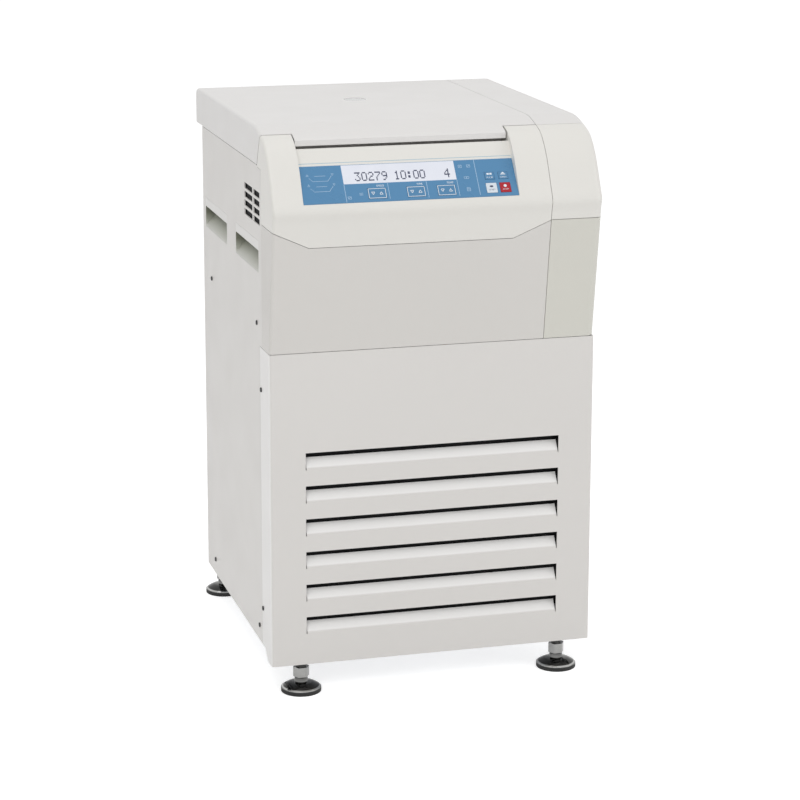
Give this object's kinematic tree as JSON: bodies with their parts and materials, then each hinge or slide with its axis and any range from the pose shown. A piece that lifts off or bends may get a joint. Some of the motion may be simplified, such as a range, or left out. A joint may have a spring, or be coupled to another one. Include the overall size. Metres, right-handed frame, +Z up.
{
  "type": "laboratory centrifuge",
  "caption": "Floor-standing refrigerated laboratory centrifuge: louvred steel cabinet on levelling feet, hinged lid, sloping key panel and swing-out rotor.",
  "frame": {"origin": "on the floor, at the middle of the footprint of the whole machine", "axes": "+X to the operator's right, +Y to the back of the machine, +Z up; the operating panel faces -Y"},
  "size_m": [0.564, 0.627, 0.95],
  "materials": {
    "painted_steel": "satin powder coat, warm grey-white",
    "cream_cover": "satin paint over moulded covers, cream white",
    "lid_white": "satin paint, grey-white",
    "zinc_steel": "zinc plated sheet",
    "stainless": "brushed stainless",
    "chrome": "polished",
    "black_rubber": "matt",
    "foam": "closed-cell foam",
    "copper": "drawn copper tube",
    "rotor_alloy": "anodised",
    "black_steel": "black paint",
    "black_plastic": "moulded",
    "overlay_blue": "printed film",
    "key_blue": "printed film",
    "key_white": "printed film",
    "key_red": "printed film",
    "display": "lit liquid crystal window",
    "clear_port": "clear acrylic"
  },
  "bodies": {
    "cabinet": {"armour_ring": "black_steel", "base_pan": "zinc_steel", "chamber_bowl": "stainless", "chamber_gasket": "black_rubber", "chamber_insulation": "foam", "compressor": "black_steel", "condenser": "rotor_alloy", "control_housing": "cream_cover", "cover_screws": "black_steel", "deck_plate": "zinc_steel", "display_window": "display", "electronics": "zinc_steel", "evaporator_coil": "copper", "fan_shroud": "zinc_steel", "frame": "zinc_steel", "front_fascia": "painted_steel", "front_louvre_panel": "painted_steel", "hinge_brackets": "zinc_steel", "hinge_pins": "stainless", "keypad_overlay": "overlay_blue", "latch_housings": "zinc_steel", "left_side_panel": "painted_steel", "mains_inlet": "black_plastic", "motor": "black_steel", "motor_dampers": "black_rubber", "motor_shelf": "zinc_steel", "rear_panel": "painted_steel", "refrigerant_pipes": "copper", "right_lower_cover": "painted_steel", "right_side_panel": "painted_steel", "right_top_cover": "lid_white", "right_upper_cover": "cream_cover", "side_grips": "painted_steel", "switch_frame": "black_plastic"},
    "lid": {"lid_shell": "lid_white", "viewing_port": "clear_port", "lid_liner": "stainless", "lid_strikers": "stainless", "lid_hinge_leaves": "zinc_steel"},
    "rotor": {"drive_spindle": "stainless", "rotor_cross": "rotor_alloy", "rotor_nut": "rotor_alloy"},
    "bucket_1": {"bucket_1": "rotor_alloy"},
    "bucket_2": {"bucket_2": "rotor_alloy"},
    "bucket_3": {"bucket_3": "rotor_alloy"},
    "bucket_4": {"bucket_4": "rotor_alloy"},
    "latch": {"latch_hooks": "black_steel"},
    "fan": {"condenser_fan": "black_plastic"},
    "mains_switch": {"mains_switch": "black_plastic"},
    "front_left_foot": {"front_left_foot": "chrome"},
    "front_right_foot": {"front_right_foot": "chrome"},
    "rear_left_foot": {"rear_left_foot": "chrome"},
    "rear_right_foot": {"rear_right_foot": "chrome"},
    "start_key": {"start_key": "key_white"},
    "stop_key": {"stop_key": "key_red"},
    "pulse_key": {"pulse_key": "key_blue"},
    "lid_key": {"lid_key": "key_blue"},
    "speed_key": {"speed_key": "key_blue"},
    "time_key": {"time_key": "key_blue"},
    "temperature_key": {"temperature_key": "key_blue"}
  },
  "joints": [
    {"name": "lid_hinge", "type": "hinge", "parent": "cabinet", "child": "lid", "pos_m": [-0.046, 0.296, 0.907], "axis": [-1, 0, 0], "range_deg": [0, 75]},
    {"name": "rotor_spin", "type": "hinge", "parent": "cabinet", "child": "rotor", "pos_m": [-0.046, 0.032, 0.807], "axis": [0, 0, 1], "continuous": true},
    {"name": "latch_turn", "type": "hinge", "parent": "cabinet", "child": "latch", "pos_m": [-0.046, -0.161, 0.843], "axis": [1, 0, 0], "range_deg": [0, 30], "stiffness_Nm_per_rad": 2},
    {"name": "fan_spin", "type": "hinge", "parent": "cabinet", "child": "fan", "pos_m": [0, -0.18, 0.235], "axis": [0, 1, 0], "continuous": true},
    {"name": "mains_switch_tilt", "type": "hinge", "parent": "cabinet", "child": "mains_switch", "pos_m": [0.14, 0.3, 0.13], "axis": [1, 0, 0], "range_deg": [0, 16]},
    {"name": "bucket_1_swing", "type": "hinge", "parent": "rotor", "child": "bucket_1", "pos_m": [0.032, 0.032, 0.807], "axis": [0, -1, 0], "range_deg": [0, 90]},
    {"name": "bucket_2_swing", "type": "hinge", "parent": "rotor", "child": "bucket_2", "pos_m": [-0.046, 0.11, 0.807], "axis": [1, 0, 0], "range_deg": [0, 90]},
    {"name": "bucket_3_swing", "type": "hinge", "parent": "rotor", "child": "bucket_3", "pos_m": [-0.124, 0.032, 0.807], "axis": [0, 1, 0], "range_deg": [0, 90]},
    {"name": "bucket_4_swing", "type": "hinge", "parent": "rotor", "child": "bucket_4", "pos_m": [-0.046, -0.046, 0.807], "axis": [-1, 0, 0], "range_deg": [0, 90]},
    {"name": "front_left_foot_height", "type": "slide", "parent": "cabinet", "child": "front_left_foot", "axis": [0, 0, 1], "range_m": [-0.01, 0.005]},
    {"name": "front_right_foot_height", "type": "slide", "parent": "cabinet", "child": "front_right_foot", "axis": [0, 0, 1], "range_m": [-0.01, 0.005]},
    {"name": "rear_left_foot_height", "type": "slide", "parent": "cabinet", "child": "rear_left_foot", "axis": [0, 0, 1], "range_m": [-0.01, 0.005]},
    {"name": "rear_right_foot_height", "type": "slide", "parent": "cabinet", "child": "rear_right_foot", "axis": [0, 0, 1], "range_m": [-0.01, 0.005]},
    {"name": "start_key_press", "type": "slide", "parent": "cabinet", "child": "start_key", "axis": [0, 0.7799, -0.6259], "range_m": [0, 0.0008], "stiffness_N_per_m": 600},
    {"name": "stop_key_press", "type": "slide", "parent": "cabinet", "child": "stop_key", "axis": [0, 0.7799, -0.6259], "range_m": [0, 0.0008], "stiffness_N_per_m": 600},
    {"name": "pulse_key_press", "type": "slide", "parent": "cabinet", "child": "pulse_key", "axis": [0, 0.7799, -0.6259], "range_m": [0, 0.0008], "stiffness_N_per_m": 600},
    {"name": "lid_key_press", "type": "slide", "parent": "cabinet", "child": "lid_key", "axis": [0, 0.7799, -0.6259], "range_m": [0, 0.0008], "stiffness_N_per_m": 600},
    {"name": "speed_key_rock", "type": "hinge", "parent": "cabinet", "child": "speed_key", "pos_m": [-0.1042, -0.29808, 0.84937], "axis": [0, -0.6259, -0.7799], "range_deg": [-2, 2], "stiffness_Nm_per_rad": 0.5},
    {"name": "time_key_rock", "type": "hinge", "parent": "cabinet", "child": "time_key", "pos_m": [-0.0388, -0.29808, 0.84937], "axis": [0, -0.6259, -0.7799], "range_deg": [-2, 2], "stiffness_Nm_per_rad": 0.5},
    {"name": "temperature_key_rock", "type": "hinge", "parent": "cabinet", "child": "temperature_key", "pos_m": [0.0126, -0.29808, 0.84937], "axis": [0, -0.6259, -0.7799], "range_deg": [-2, 2], "stiffness_Nm_per_rad": 0.5}
  ]
}
